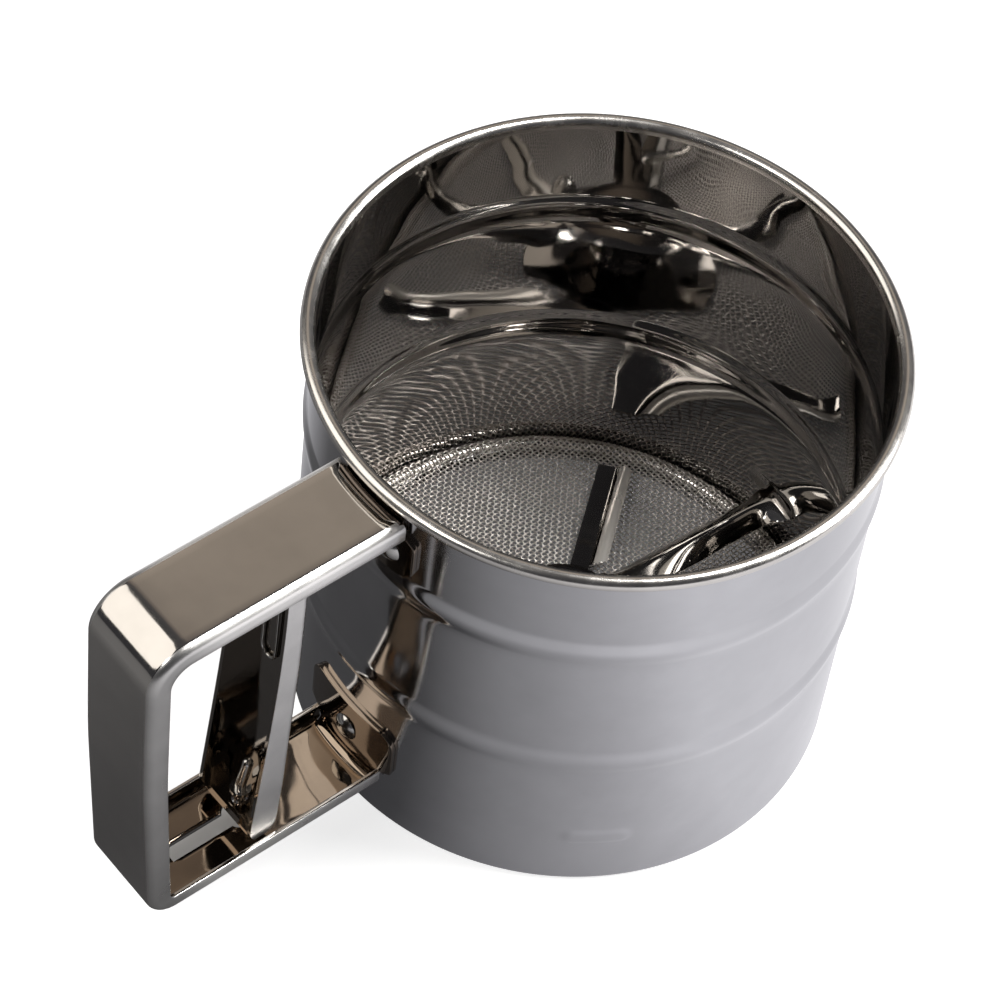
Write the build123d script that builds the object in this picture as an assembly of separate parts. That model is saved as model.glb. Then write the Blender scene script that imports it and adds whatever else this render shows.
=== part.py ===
from build123d import *
import os
import math

os.makedirs("parts", exist_ok=True)

# ---------------------------------------------------------------------------
# Hand-squeeze flour sifter.
# Frame: origin on the cup axis in the plane the cup stands on, +Z up to the
# open mouth, +X from the cup axis towards the handle. Millimetres.
# ---------------------------------------------------------------------------

# cup
CUP_R = 49.0            # outer radius of the wall
WALL_T = 0.6            # sheet thickness
CUP_H = 89.3            # height over the rolled rim
RIM_R = 51.0            # outer radius of the rolled rim
CURL_R = 1.0            # centre-line radius of the rim curl
BEAD_Z = (36.2, 67.2)   # heights of the two outward beads
BEAD_HALF = 3.0         # half width of a bead
BEAD_H = 0.85           # height of a bead
FLANGE_R = 45.0         # inner radius of the turned-in base flange
POCKET_Z = 13.8         # height of the three snap pockets
POCKET_L = 12.4         # length of a pocket round the wall
POCKET_W = 4.2          # height of a pocket
POCKET_D = 1.0          # how far a pocket stands out
ARM_AZ = (177.0, 57.0, -63.0)   # azimuths of the spider arms and pockets

# sieve
MESH_Z = 2.0            # underside of the flat mesh
MESH_T = 0.5
HOOP_R = 46.72          # centre-line radius of the wire hoop
HOOP_WIRE = 1.05        # radius of the hoop wire
HEM_T = 0.5             # thickness of the mesh hem round the hoop
HEM_Z = 2.25            # height of the hoop centre

# agitator
DISC_Z = 3.6            # underside of the stamped star
DISC_T = 0.8
DISC_R = 15.5           # radius of its centre disc
BLADE_AZ0 = 218.0       # azimuth of the first blade at rest
BLADE_R = 41.6          # tip radius of the blades
FIN_TOP = 7.3           # top of the upturned blade lip
SPINDLE_R = 2.0
HUB_BORE = 2.05
HUB_R = 4.0
HUB_TOP = 12.2
CRANK_R = 13.5          # radius of the crank pin
CRANK_HALF = 28.33      # half sweep of the agitator, degrees
CRANK_PIN_R = 1.25

# spider
SPIDER_CROWN = 13.9     # crown of the arched arms
SPIDER_EDGE = 11.2      # centre-line of their lower edges
SPIDER_W = 6.4
SPIDER_T = 0.8
SPIDER_TIP = 49.15      # radius of the arm tips inside the pockets

# drive link
LINK_Z = 8.9            # height of the wire rod
LINK_WIRE = 1.0         # radius of the wire
LEG_X = 72.6            # upturned end
LEG_TOP = 25.3
LEAN_Z = 20.2           # above this the end leans towards the cup
LEG_LEAN = 1.3
EYE_R = 2.45            # centre-line radius of the wire eye
EYE_Y = 12.69
EYE_HALF = 0.9

# handle
STRAP_W = 18.0          # width of the channel strip
STRAP_T = 0.9
STRAP_LIP = 3.95        # depth over the turned-in lips
ARM_TOP = 84.5          # outer face of the upper arm
ARM_BOT = 10.3          # outer face of the lower arm
GRIP_X = 98.9           # outer face of the grip
TAB_HALF = 11.0         # half width of the wall tabs
UPPER_TAB_Z = 70.7
LOWER_TAB_Z = 25.0
SLOT_X0, SLOT_X1, SLOT_HALF = 72.4, 87.6, 1.6
KEYHOLE_R = 3.2

# trigger
PIVOT_X, PIVOT_Z = 69.2, 81.9
PIVOT_PIN_R = 0.9
TRIG_HALF = 7.4
TRIG_T = 0.8
TRIG_ANGLE = 11.2       # squeeze travel, degrees
BRACKET_Z = 15.2        # underside of the link bracket plate
BRACKET_T = 0.8

RIVET_R = 1.5
UPPER_RIVET_Z = 75.6
UPPER_RIVET_AZ = 6.5
LOWER_RIVET_Z = 18.2


def save(shape, name):
    export_step(shape, "parts/" + name + ".step")


def cyl(r, z0, z1, x=0.0, y=0.0):
    return Pos(x, y, z0) * Cylinder(r, z1 - z0, align=(Align.CENTER, Align.CENTER, Align.MIN))


def tube(r_in, r_out, z0, z1, x=0.0, y=0.0):
    return cyl(r_out, z0, z1, x, y) - cyl(r_in, z0 - 1, z1 + 1, x, y)


def block(x0, x1, y0, y1, z0, z1):
    return Pos((x0 + x1) / 2, (y0 + y1) / 2, (z0 + z1) / 2) * Box(x1 - x0, y1 - y0, z1 - z0)


def radial_cyl(r, x0, x1, z, az):
    """Cylinder whose axis is the cup radius at azimuth az and height z."""
    c = Pos(x0, 0, z) * Rot(0, 90, 0) * Cylinder(r, x1 - x0, align=(Align.CENTER, Align.CENTER, Align.MIN))
    return Rot(0, 0, az) * c


def arc3(cx, cy, r, a0, a1):
    """Arc by centre, radius and two angles in degrees, as three points."""
    am = (a0 + a1) / 2
    p = [(cx + r * math.cos(math.radians(a)), cy + r * math.sin(math.radians(a))) for a in (a0, am, a1)]
    return ThreePointArc(*p)


# ---------------------------------------------------------------------------
# cup body: one sheet profile turned about Z
# ---------------------------------------------------------------------------
rc = CUP_R - WALL_T / 2
curl_z = CUP_H - CURL_R - WALL_T / 2
bead_rad = (BEAD_HALF ** 2 + BEAD_H ** 2) / (4 * BEAD_H)
bead_ang = math.degrees(math.asin((BEAD_HALF / 2) / bead_rad))

edges = []
edges.append(Line((FLANGE_R, WALL_T / 2), (rc - 1.0, WALL_T / 2)))
edges.append(arc3(rc - 1.0, WALL_T / 2 + 1.0, 1.0, -90, 0))
z_now = WALL_T / 2 + 1.0
for zb in BEAD_Z:
    edges.append(Line((rc, z_now), (rc, zb - BEAD_HALF)))
    edges.append(arc3(rc + bead_rad, zb - BEAD_HALF, bead_rad, 180, 180 - bead_ang))
    edges.append(arc3(rc + BEAD_H - bead_rad, zb, bead_rad, -bead_ang, bead_ang))
    edges.append(arc3(rc + bead_rad, zb + BEAD_HALF, bead_rad, 180 + bead_ang, 180))
    z_now = zb + BEAD_HALF
edges.append(Line((rc, z_now), (rc, curl_z)))
edges.append(arc3(rc + CURL_R, curl_z, CURL_R, 180, 40))
edges.append(arc3(rc + CURL_R, curl_z, CURL_R, 40, -100))
profile = trace(edges, line_width=WALL_T)
cup = revolve(Plane.XZ * profile, Axis.Z, 360)

for az in ARM_AZ:
    slot_o = Rot(0, 0, az) * (Plane.YZ.offset(CUP_R - 2.0) * extrude(SlotOverall(POCKET_L, POCKET_W), 8))
    slot_i = Rot(0, 0, az) * (Plane.YZ.offset(CUP_R - 3.0) * extrude(SlotOverall(POCKET_L - 1.2, POCKET_W - 1.2), 10))
    slot_o = Pos(0, 0, POCKET_Z) * slot_o
    slot_i = Pos(0, 0, POCKET_Z) * slot_i
    boss = slot_o & tube(CUP_R - WALL_T, CUP_R + POCKET_D, 5, 25)
    hollow = slot_i & cyl(CUP_R - WALL_T + POCKET_D, 5, 25)
    cup = cup + boss - hollow
rivet_holes = [(UPPER_RIVET_Z, UPPER_RIVET_AZ), (UPPER_RIVET_Z, -UPPER_RIVET_AZ), (LOWER_RIVET_Z, 0.0)]
for z, az in rivet_holes:
    cup = cup - radial_cyl(RIVET_R + 0.02, 45, 53, z, az)
cup = cup - radial_cyl(LINK_WIRE + 0.2, 45, 51, LINK_Z, 0)
save(cup, "cup_body")

# ---------------------------------------------------------------------------
# sieve: flat mesh whose edge is hemmed over a wire hoop
# ---------------------------------------------------------------------------
hem_mid = HOOP_WIRE + 0.02 + HEM_T / 2
mesh_mid = MESH_Z + MESH_T / 2
join_a = math.degrees(math.asin((mesh_mid - HEM_Z) / hem_mid))
hem = trace([arc3(HOOP_R, HEM_Z, hem_mid, 180 - join_a, 0), arc3(HOOP_R, HEM_Z, hem_mid, 0, -110)], line_width=HEM_T)
flat = Pos((HOOP_R - hem_mid) / 2, mesh_mid) * Rectangle(HOOP_R - hem_mid + 0.1, MESH_T)
flat = flat & (Pos(30, 0) * Rectangle(60, 60))
mesh = revolve(Plane.XZ * (hem + flat), Axis.Z, 360)
save(mesh, "sieve_mesh")
hoop = Pos(0, 0, HEM_Z) * Torus(HOOP_R, HOOP_WIRE)
save(hoop, "sieve_hoop")

# ---------------------------------------------------------------------------
# spider: three arched arms on a hub, tips snapped into the wall pockets
# ---------------------------------------------------------------------------
cr = SPIDER_CROWN - SPIDER_T / 2
arch = trace([ThreePointArc((-SPIDER_W / 2 + 0.3, SPIDER_EDGE), (0, cr), (SPIDER_W / 2 - 0.3, SPIDER_EDGE))],
             line_width=SPIDER_T)
arm = Plane.YZ.offset(4.0) * extrude(arch, 40.5)
tip_pts = [(42.5, -3.0), (45.5, -3.6), (48.0, -5.1), (50.0, -5.1), (50.0, 5.1), (48.0, 5.1), (45.5, 3.6), (42.5, 3.0)]
tip = Pos(0, 0, POCKET_Z - 0.4) * extrude(make_face(Polyline(*tip_pts, close=True)), 0.8)
web = Plane.YZ.offset(42.5) * extrude(make_face(Polyline((-3.1, SPIDER_EDGE - 0.3), (-2.4, POCKET_Z + 0.1), (2.4, POCKET_Z + 0.1), (3.1, SPIDER_EDGE - 0.3), close=True)), 0.9)
arm = arm + tip + web
arm = arm & cyl(SPIDER_TIP, 0, 30)
spider = cyl(10.0, SPIDER_CROWN - SPIDER_T, SPIDER_CROWN)
for az in ARM_AZ:
    spider = spider + Rot(0, 0, az) * arm
spider = spider - cyl(9.2, 5, SPIDER_CROWN - SPIDER_T)
spider = spider - cyl(SPINDLE_R + 0.02, 0, 30)
save(spider, "agitator_spider")

# spindle rivet, its washers and the rotating hub
spindle = cyl(4.5, 2.7, 3.2) + cyl(SPINDLE_R, 2.9, 14.4)
head = Pos(0, 0, SPIDER_CROWN + 0.01) * (Sphere(4.2) & (Pos(0, 0, 0) * cyl(3.6, 0, 5)))
head = cyl(3.6, SPIDER_CROWN + 0.01, 14.6) + (Pos(0, 0, 14.6 - 6.0) * Sphere(6.997) & cyl(3.6, 14.6, 16))
spindle = spindle + head
save(spindle, "agitator_spindle")
save(tube(SPINDLE_R + 0.03, 5.5, 3.22, 3.54), "lower_thrust_washer")
save(tube(SPINDLE_R + 0.03, 5.0, 12.45, 12.95), "upper_thrust_washer")

hub = tube(HUB_BORE, HUB_R, DISC_Z, HUB_TOP) + tube(HUB_BORE, 6.0, DISC_Z + DISC_T + 0.01, DISC_Z + DISC_T + 0.8)
save(hub, "agitator_hub")

crank_az = 90.0 + CRANK_HALF
crank_x = CRANK_R * math.cos(math.radians(crank_az))
crank_y = CRANK_R * math.sin(math.radians(crank_az))

star = cyl(DISC_R, DISC_Z, DISC_Z + DISC_T)
for k in range(4):
    plan = make_face(Polyline((12, -1.8), (BLADE_R, -1.7), (BLADE_R - 0.8, 1.7), (12, 1.8), close=True))
    strip = Pos(0, 0, DISC_Z) * extrude(plan, DISC_T)
    b1 = Vector(17.6, -1.8 + 0.25, DISC_Z + 0.2)
    b2 = Vector(BLADE_R - 0.1, -1.7 + 0.25, DISC_Z + 0.2)
    along = (b2 - b1).normalized()
    lean = Vector(0, -2.2, FIN_TOP - DISC_Z - 0.35)
    t1 = b1 + along * 1.8 + lean
    t2 = b2 - along * 0.9 + lean
    quad = make_face(Polyline(b1, b2, t2, t1, close=True))
    nrm = along.cross(lean).normalized()
    fin = extrude(quad, amount=0.7, dir=(nrm.X, nrm.Y, nrm.Z))
    star = star + Rot(0, 0, BLADE_AZ0 + 90 * k) * (strip + fin)
star = star - cyl(HUB_R + 0.01, 0, 10)
star = star - cyl(CRANK_PIN_R + 0.01, 0, 10, crank_x, crank_y)
star = star & block(-60, 60, -60, 60, DISC_Z, 20)
save(star, "agitator_blades")

pin = cyl(CRANK_PIN_R, DISC_Z, 10.55, crank_x, crank_y) + cyl(2.3, DISC_Z + DISC_T + 0.01, LINK_Z - LINK_WIRE - 0.05, crank_x, crank_y)
save(pin, "crank_pin")
save(tube(CRANK_PIN_R + 0.02, 2.8, 10.0, 10.4, crank_x, crank_y), "crank_clip")

# ---------------------------------------------------------------------------
# drive link: round wire with a closed eye at one end and an upturned leg
# ---------------------------------------------------------------------------
ex = crank_x
eye_path = Wire([
    Line((ex - EYE_R, EYE_Y - EYE_HALF), (ex - EYE_R, EYE_Y + EYE_HALF)).edge(),
    ThreePointArc((ex - EYE_R, EYE_Y + EYE_HALF), (ex, EYE_Y + EYE_HALF + EYE_R), (ex + EYE_R, EYE_Y + EYE_HALF)).edge(),
    Line((ex + EYE_R, EYE_Y + EYE_HALF), (ex + EYE_R, EYE_Y - EYE_HALF)).edge(),
    ThreePointArc((ex + EYE_R, EYE_Y - EYE_HALF), (ex, EYE_Y - EYE_HALF - EYE_R), (ex - EYE_R, EYE_Y - EYE_HALF)).edge(),
])
eye_path = Pos(0, 0, LINK_Z) * eye_path
eye_sec = Plane(origin=(ex - EYE_R, EYE_Y - EYE_HALF, LINK_Z), z_dir=(0, 1, 0)) * Circle(LINK_WIRE)
eye = sweep(eye_sec, path=eye_path)
rod_path = FilletPolyline((ex + EYE_R, EYE_Y, LINK_Z), (15.0, EYE_Y, LINK_Z), (33.5, 0, LINK_Z), (LEG_X, 0, LINK_Z), (LEG_X, 0, LEAN_Z), (LEG_X - LEG_LEAN, 0, LEG_TOP),
                          radius=[4.0, 4.0, 2.2, 3.0])
rod_sec = Plane(origin=(ex + EYE_R, EYE_Y, LINK_Z), z_dir=(1, 0, 0)) * Circle(LINK_WIRE)
rod = sweep(rod_sec, path=rod_path)
tip_ball = Pos(LEG_X - LEG_LEAN, 0, LEG_TOP) * Sphere(LINK_WIRE)
link = eye + rod + tip_ball
save(link, "drive_link")
clip_z = BRACKET_Z + BRACKET_T + 2.6   # clear of the bracket plate when it lifts at full squeeze
retainer = tube(LINK_WIRE + 0.02, 1.9, clip_z, clip_z + 0.6, LEG_X, 0) - block(LEG_X - 3, LEG_X, -0.5, 0.5, clip_z - 1, clip_z + 2)
save(retainer, "link_retainer")

# ---------------------------------------------------------------------------
# handle: channel strip bent to a C, with a curved tab at each end on the wall
# ---------------------------------------------------------------------------
mid = STRAP_T / 2
path = FilletPolyline((46.0, 0, ARM_TOP - mid), (98.35, 0, ARM_TOP - mid), (GRIP_X - mid, 0, 50.0), (96.9, 0, ARM_BOT + mid), (46.0, 0, ARM_BOT + mid),
                      radius=[7.8, 300.0, 5.0])
hw = STRAP_W / 2 - mid
rr = 1.4
lip = STRAP_LIP - mid
sec = trace([Line((-hw, -lip), (-hw, -rr)), arc3(-hw + rr, -rr, rr, 180, 90), Line((-hw + rr, 0), (hw - rr, 0)),
             arc3(hw - rr, -rr, rr, 90, 0), Line((hw, -rr), (hw, -lip))], line_width=STRAP_T)
start = Plane(origin=(46.0, 0, ARM_TOP - mid), x_dir=(0, 1, 0), z_dir=(1, 0, 0))
strap = sweep((start * sec).faces()[0], path=path)
wall_out = CUP_R + 0.03
strap = strap - cyl(wall_out, -5, 100)
tab = tube(wall_out, wall_out + STRAP_T, 0, 100)
up = tab & (Plane.YZ.offset(40) * extrude(Pos(0, (UPPER_TAB_Z + ARM_TOP - 1.2) / 2) * RectangleRounded(2 * TAB_HALF, ARM_TOP - 1.2 - UPPER_TAB_Z, 3.0), 15))
up = up + (tab & block(40, 55, -STRAP_W / 2 + 0.3, STRAP_W / 2 - 0.3, 78, ARM_TOP - 0.3))
lo = tab & (Plane.YZ.offset(40) * extrude(Pos(0, (LOWER_TAB_Z + ARM_BOT + 0.6) / 2) * RectangleRounded(2 * TAB_HALF, LOWER_TAB_Z - ARM_BOT - 0.6, 3.0), 15))
lo = lo + (tab & block(40, 55, -STRAP_W / 2 + 0.3, STRAP_W / 2 - 0.3, ARM_BOT + 0.3, 18))
strap = strap + up + lo
for z, az in rivet_holes:
    strap = strap - radial_cyl(RIVET_R + 0.02, 45, 53, z, az)
strap = strap - block(SLOT_X0, SLOT_X1, -SLOT_HALF, SLOT_HALF, 9, 13) - cyl(KEYHOLE_R, 9, 13, SLOT_X0, 0)
pivot_hole = Pos(PIVOT_X, 0, PIVOT_Z) * Rot(90, 0, 0) * Cylinder(PIVOT_PIN_R + 0.01, 30)
strap = strap - pivot_hole
save(strap, "handle_strap")


def rivet(z, az):
    """Rivet through wall and tab along the cup radius, a low dome outside and a flat head inside."""
    xo = wall_out + STRAP_T + 0.01
    xi = CUP_R - WALL_T - 0.08
    lo_ = (Align.CENTER, Align.CENTER, Align.MIN)
    stack = Pos(0, 0, xi - 0.1) * Cylinder(RIVET_R, xo - xi + 0.2, align=lo_)
    stack = stack + Pos(0, 0, xo) * Cylinder(2.6, 0.45, align=lo_)
    stack = stack + Pos(0, 0, xo + 0.45) * Cone(2.6, 1.7, 0.55, align=lo_)
    stack = stack + Pos(0, 0, xo + 1.0) * Cone(1.7, 0.7, 0.25, align=lo_)
    stack = stack + Pos(0, 0, xi - 0.4) * Cylinder(2.6, 0.4, align=lo_)
    stack = stack + Pos(0, 0, xi - 0.7) * Cone(2.0, 2.6, 0.3, align=lo_)
    return Rot(0, 0, az) * (Pos(0, 0, z) * (Rot(0, 90, 0) * stack))


r1 = rivet(UPPER_RIVET_Z, UPPER_RIVET_AZ)
r2 = rivet(UPPER_RIVET_Z, -UPPER_RIVET_AZ)
save(Compound(children=[r1.solids()[0], r2.solids()[0]]), "upper_handle_rivets")
save(rivet(LOWER_RIVET_Z, 0).solids()[0], "lower_handle_rivet")

pivot_pin = Pos(PIVOT_X, 0, PIVOT_Z) * Rot(90, 0, 0) * Cylinder(PIVOT_PIN_R, STRAP_W - 0.1)
save(pivot_pin, "trigger_pivot_pin")

# ---------------------------------------------------------------------------
# trigger: folded channel, smooth web on the cup side, open towards the grip
# ---------------------------------------------------------------------------
side = [(66.5, 80.6), (66.7, 71.6), (67.1, 58.4), (67.8, 45.1), (68.5, 30.8), (69.65, 16.0)]
web_edge = Spline(*[Vector(x, 0, z) for x, z in side])
bottom = ThreePointArc((69.65, 0, 16.0), (70.8, 0, 13.7), (73.0, 0, 12.9))
nose = ThreePointArc((73.0, 0, 12.9), (75.1, 0, 14.2), (75.8, 0, 17.0))
free = Spline((75.8, 0, 17.0), (74.2, 0, 32.0), (72.2, 0, 52.7), (70.9, 0, 78.5))
ear = [Line((70.9, 0, 78.5), (70.85, 0, 81.9)), ThreePointArc((70.85, 0, 81.9), (69.2, 0, 83.5), (67.55, 0, 81.9)),
       Line((67.55, 0, 81.9), (66.5, 0, 80.6))]
outline = make_face([web_edge, bottom, nose, free] + ear)
body = extrude(outline, amount=TRIG_HALF, dir=(0, 1, 0), both=True)
inner_pts = [(x + TRIG_T, z) for x, z in side]
cut_web = Spline(*[Vector(x, 0, z) for x, z in inner_pts])
cut_face = make_face([cut_web,
                      Line((inner_pts[-1][0], 0, inner_pts[-1][1]), (inner_pts[-1][0] + 0.35, 0, 8.0)),
                      Line((inner_pts[-1][0] + 0.35, 0, 8.0), (90, 0, 8.0)),
                      Line((90, 0, 8.0), (90, 0, 90.0)),
                      Line((90, 0, 90.0), (inner_pts[0][0] - 0.2, 0, 90.0)),
                      Line((inner_pts[0][0] - 0.2, 0, 90.0), (inner_pts[0][0], 0, inner_pts[0][1]))])
channel = extrude(cut_face, amount=TRIG_HALF - TRIG_T, dir=(0, 1, 0), both=True)
outer_long = body.edges().filter_by(lambda e: e.length > 55 and e.center().X < 69.5)
body = fillet(outer_long, 1.3)
trigger = body - channel
trigger = trigger - block(60, 70.5, -TRIG_HALF + 2.2, TRIG_HALF - 2.2, 79.8, 90)
trigger = trigger - Pos(PIVOT_X, 0, PIVOT_Z) * Rot(90, 0, 0) * Cylinder(PIVOT_PIN_R + 0.05, 30)
save(trigger, "trigger_lever")

# small plate across the lower end of the trigger, with a hole for the link
bw = TRIG_HALF - TRIG_T - 0.01
web_in = 70.55
plate = block(web_in, 75.9, -bw, bw, BRACKET_Z, BRACKET_Z + BRACKET_T)
ears = block(web_in, 74.6, -bw, -bw + 0.8, BRACKET_Z, BRACKET_Z + 4.2) + block(web_in, 74.6, bw - 0.8, bw, BRACKET_Z, BRACKET_Z + 4.2)
front = block(75.2, 75.9, -4.2, 4.2, BRACKET_Z, BRACKET_Z + 2.0)
hole = (Pos(LEG_X, 0, BRACKET_Z) * extrude(SlotOverall(3.1, 2 * LINK_WIRE + 0.3), 6, both=True))
bracket = plate + ears + front - hole
save(bracket, "link_bracket")

# ---------------------------------------------------------------------------
# return spring: two coils on the pivot pin, a U-shaped bight down the web and
# two short legs under the upper arm
# ---------------------------------------------------------------------------
SPR_WIRE = 0.35
SPR_R = 1.3
loops = []
for sgn in (1, -1):
    y_in, y_out = 1.75 * sgn, 3.95 * sgn
    for k in range(4):
        y = y_in + (y_out - y_in) * k / 3
        loops.append(Pos(PIVOT_X, y, PIVOT_Z) * Rot(90, 0, 0) * Torus(SPR_R, SPR_WIRE))
    leg = Pos(PIVOT_X, y_out, PIVOT_Z + SPR_R) * Rot(0, 90, 0) * Cylinder(SPR_WIRE, 10.0, align=(Align.CENTER, Align.CENTER, Align.MIN))
    loops.append(leg)
    tie = Pos(PIVOT_X - SPR_R, (y_in + y_out) / 2, PIVOT_Z) * Rot(90, 0, 0) * Cylinder(0.2, abs(y_out - y_in))
    loops.append(tie)
bx0 = PIVOT_X - SPR_R
bight_path = FilletPolyline((bx0, 1.75, PIVOT_Z), (68.45, 1.75, 54.6), (68.45, -1.75, 54.6), (bx0, -1.75, PIVOT_Z), radius=[1.7, 1.7])
d0 = (Vector(68.45, 1.75, 54.6) - Vector(bx0, 1.75, PIVOT_Z)).normalized()
bight = sweep(Plane(origin=(bx0, 1.75, PIVOT_Z), z_dir=(d0.X, d0.Y, d0.Z)) * Circle(SPR_WIRE), path=bight_path)
spring = bight
for s in loops:
    spring = spring + s
save(spring, "return_spring")
print("done")
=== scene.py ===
import bpy
import bmesh
import math
from mathutils import Matrix, Vector, noise


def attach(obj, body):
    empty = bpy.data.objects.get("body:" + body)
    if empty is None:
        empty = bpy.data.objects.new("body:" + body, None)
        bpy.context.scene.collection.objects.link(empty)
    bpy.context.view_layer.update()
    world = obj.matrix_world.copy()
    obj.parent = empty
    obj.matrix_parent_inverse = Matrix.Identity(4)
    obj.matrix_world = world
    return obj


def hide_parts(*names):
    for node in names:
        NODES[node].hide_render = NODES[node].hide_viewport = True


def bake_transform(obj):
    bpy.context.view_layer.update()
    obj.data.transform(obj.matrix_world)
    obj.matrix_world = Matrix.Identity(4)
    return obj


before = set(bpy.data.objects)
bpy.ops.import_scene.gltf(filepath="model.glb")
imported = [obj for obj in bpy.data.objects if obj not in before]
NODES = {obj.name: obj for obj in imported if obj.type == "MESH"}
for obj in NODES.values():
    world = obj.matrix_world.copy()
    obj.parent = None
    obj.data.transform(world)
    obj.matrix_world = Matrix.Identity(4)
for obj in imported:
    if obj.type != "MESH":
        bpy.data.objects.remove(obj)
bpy.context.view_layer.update()        # the imported nodes now sit unparented in world space
MM = 0.001

# ---------------------------------------------------------------------------
# camera first
# ---------------------------------------------------------------------------
cam_data = bpy.data.cameras.new("camera")
cam = bpy.data.objects.new("camera", cam_data)
bpy.context.collection.objects.link(cam)
bpy.context.scene.camera = cam
RIGHT = (-0.7764117281, 0.6244503133, 0.0851271675)
UP = (-0.4541052123, -0.6479730581, 0.6114894702)
BACK = (0.4370049023, 0.4361109058, 0.7866600239)
LOC = (0.3061082513, 0.2854505623, 0.5750058580)
cam.matrix_world = Matrix(((RIGHT[0], UP[0], BACK[0], LOC[0]),
                           (RIGHT[1], UP[1], BACK[1], LOC[1]),
                           (RIGHT[2], UP[2], BACK[2], LOC[2]),
                           (0, 0, 0, 1)))
cam_data.sensor_width = 36.0
cam_data.lens = 140.1065
cam_data.clip_start = 0.01
cam_data.clip_end = 20.0


# ---------------------------------------------------------------------------
# mesh helpers (all sizes in millimetres, turned to metres at the end)
# ---------------------------------------------------------------------------
def make(name, verts, faces, smooth=True, sharp=None):
    me = bpy.data.meshes.new(name)
    me.from_pydata([(x * MM, y * MM, z * MM) for x, y, z in verts], [], faces)
    me.validate()
    me.update()
    ob = bpy.data.objects.new(name, me)
    bpy.context.collection.objects.link(ob)
    bm = bmesh.new()
    bm.from_mesh(me)
    bmesh.ops.recalc_face_normals(bm, faces=bm.faces)
    if sharp is not None:
        lim = math.radians(sharp)
        for e in bm.edges:
            if len(e.link_faces) == 2 and e.calc_face_angle(0.0) > lim:
                e.smooth = False
    bm.to_mesh(me)
    bm.free()
    if smooth:
        for p in me.polygons:
            p.use_smooth = True
    return ob


def smooth(a, b, t):
    t = max(0.0, min(1.0, (t - a) / (b - a)))
    return t * t * (3 - 2 * t)


def tube_path(verts, faces, pts, rad, n=8, closed=False, caps=True, dome=0):
    """Adds a round tube along pts to verts/faces; rad is a number or one per point."""
    base = len(verts)
    m = len(pts)
    P = [Vector(p) for p in pts]
    T = []
    for i in range(m):
        if closed:
            t = P[(i + 1) % m] - P[i - 1]
        else:
            t = P[min(i + 1, m - 1)] - P[max(i - 1, 0)]
        T.append(t.normalized())
    u = T[0].orthogonal().normalized()
    frames = []
    for i in range(m):
        if i:
            ax = T[i - 1].cross(T[i])
            if ax.length > 1e-9:
                u = Matrix.Rotation(T[i - 1].angle(T[i]), 3, ax.normalized()) @ u
            u = (u - T[i] * u.dot(T[i])).normalized()
        frames.append((u.copy(), T[i].cross(u)))
    for i in range(m):
        r = rad[i] if isinstance(rad, (list, tuple)) else rad
        a, b = frames[i]
        for k in range(n):
            w = 2 * math.pi * k / n
            q = P[i] + a * (r * math.cos(w)) + b * (r * math.sin(w))
            verts.append((q.x, q.y, q.z))
    rows = m if closed else m - 1
    for i in range(rows):
        j = (i + 1) % m
        for k in range(n):
            l = (k + 1) % n
            faces.append((base + i * n + k, base + i * n + l, base + j * n + l, base + j * n + k))
    if not closed and caps:
        faces.append(tuple(base + k for k in range(n))[::-1])
        faces.append(tuple(base + (m - 1) * n + k for k in range(n)))


def lathe(name, prof, seg=96, axis="Z", origin=(0, 0, 0), closed=True, sharp=35, fn=None):
    """Revolves a closed (r, h) outline. fn(r, h, angle) may move a point: it returns (r, h)."""
    verts, faces = [], []
    n = len(prof)
    for s in range(seg):
        a = 2 * math.pi * s / seg
        for r, h in prof:
            rr, hh = fn(r, h, a) if fn else (r, h)
            x, y = rr * math.cos(a), rr * math.sin(a)
            if axis == "Z":
                verts.append((origin[0] + x, origin[1] + y, origin[2] + hh))
            elif axis == "Y":
                verts.append((origin[0] + x, origin[1] + hh, origin[2] + y))
            else:
                verts.append((origin[0] + hh, origin[1] + x, origin[2] + y))
    for s in range(seg):
        t = (s + 1) % seg
        for k in range(n if closed else n - 1):
            l = (k + 1) % n
            faces.append((s * n + k, t * n + k, t * n + l, s * n + l))
    ob = make(name, verts, faces, sharp=sharp)
    bm = bmesh.new()
    bm.from_mesh(ob.data)
    bmesh.ops.remove_doubles(bm, verts=bm.verts, dist=1e-7)
    bmesh.ops.recalc_face_normals(bm, faces=bm.faces)
    bm.to_mesh(ob.data)
    bm.free()
    return ob


def settle(ob):
    """Applies every modifier of the piece to its mesh."""
    dg = bpy.context.evaluated_depsgraph_get()
    dg.update()
    me = bpy.data.meshes.new_from_object(ob.evaluated_get(dg))
    old = ob.data
    ob.modifiers.clear()
    ob.data = me
    me.name = ob.name
    bpy.data.meshes.remove(old)
    return ob


def sheet_piece(name, rows, thick, bevel=0.12, mat=None, back=None):
    """Grid of points (rows of equal length) turned into sheet of the given thickness with eased edges."""
    verts, faces = [], []
    n = len(rows[0])
    for r in rows:
        verts += r
    for i in range(len(rows) - 1):
        for k in range(n - 1):
            faces.append((i * n + k, i * n + k + 1, (i + 1) * n + k + 1, (i + 1) * n + k))
    ob = make(name, verts, faces)
    so = ob.modifiers.new("thickness", "SOLIDIFY")
    so.thickness = thick * MM
    so.offset = 0.0
    so.use_even_offset = True
    so.use_quality_normals = True
    if back:
        ob.data.materials.append(mat)
        ob.data.materials.append(back)
        so.material_offset = 1
    if bevel:
        be = ob.modifiers.new("edges", "BEVEL")
        be.width = bevel * MM
        be.segments = 2
        be.limit_method = "ANGLE"
        be.angle_limit = math.radians(60)
    settle(ob)
    for p in ob.data.polygons:
        p.use_smooth = True
    if mat and not back:
        ob.data.materials.clear()
        ob.data.materials.append(mat)
    return ob


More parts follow.
